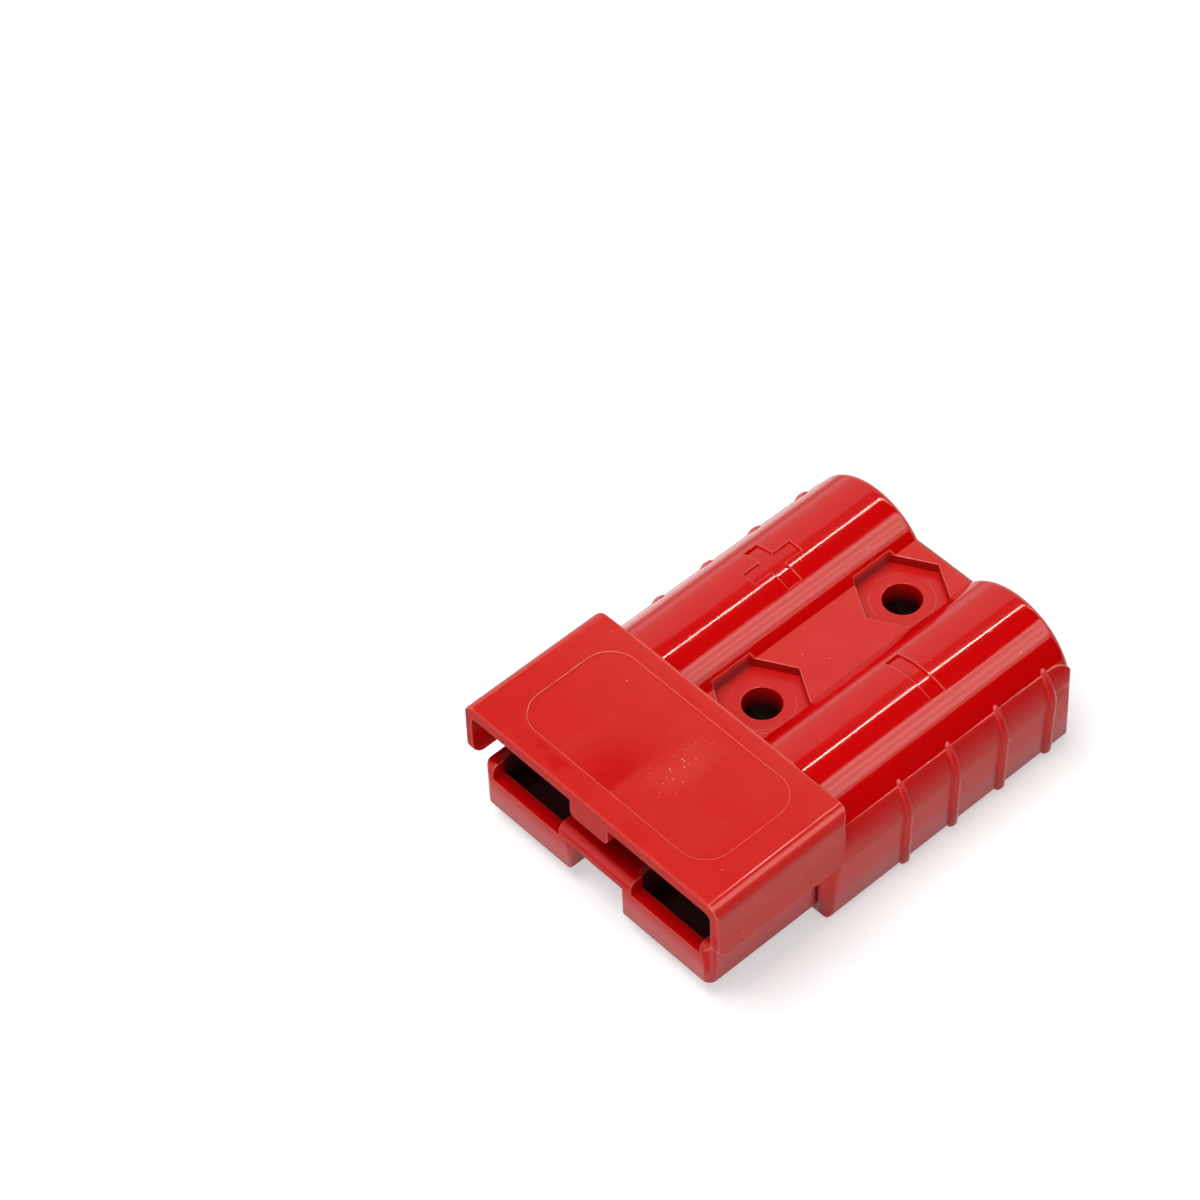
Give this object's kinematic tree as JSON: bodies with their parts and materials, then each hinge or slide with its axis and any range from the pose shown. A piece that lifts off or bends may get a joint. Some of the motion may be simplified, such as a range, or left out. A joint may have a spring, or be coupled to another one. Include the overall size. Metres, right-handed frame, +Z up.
{
  "type": "genderless power connector",
  "caption": "Genderless power connector with a hooded and keyed mating face, side-by-side cable barrels, ribbed sides, flat contact springs and vertical mounting holes.",
  "frame": {"origin": "middle of the bottom face of the bounding box", "axes": "-Y out of the mating face, +Y out of the cable entries, +Z up through the hood and the nut pockets, X across the poles"},
  "size_m": [0.0368, 0.049, 0.0158],
  "materials": {
    "housing": "red moulded thermoplastic, glossy on the barrels and satin on the hood and the sides",
    "spring": "stainless spring strip"
  },
  "bodies": {
    "root": {"housing": "housing", "spring_left": "spring", "spring_right": "spring"}
  },
  "joints": []
}
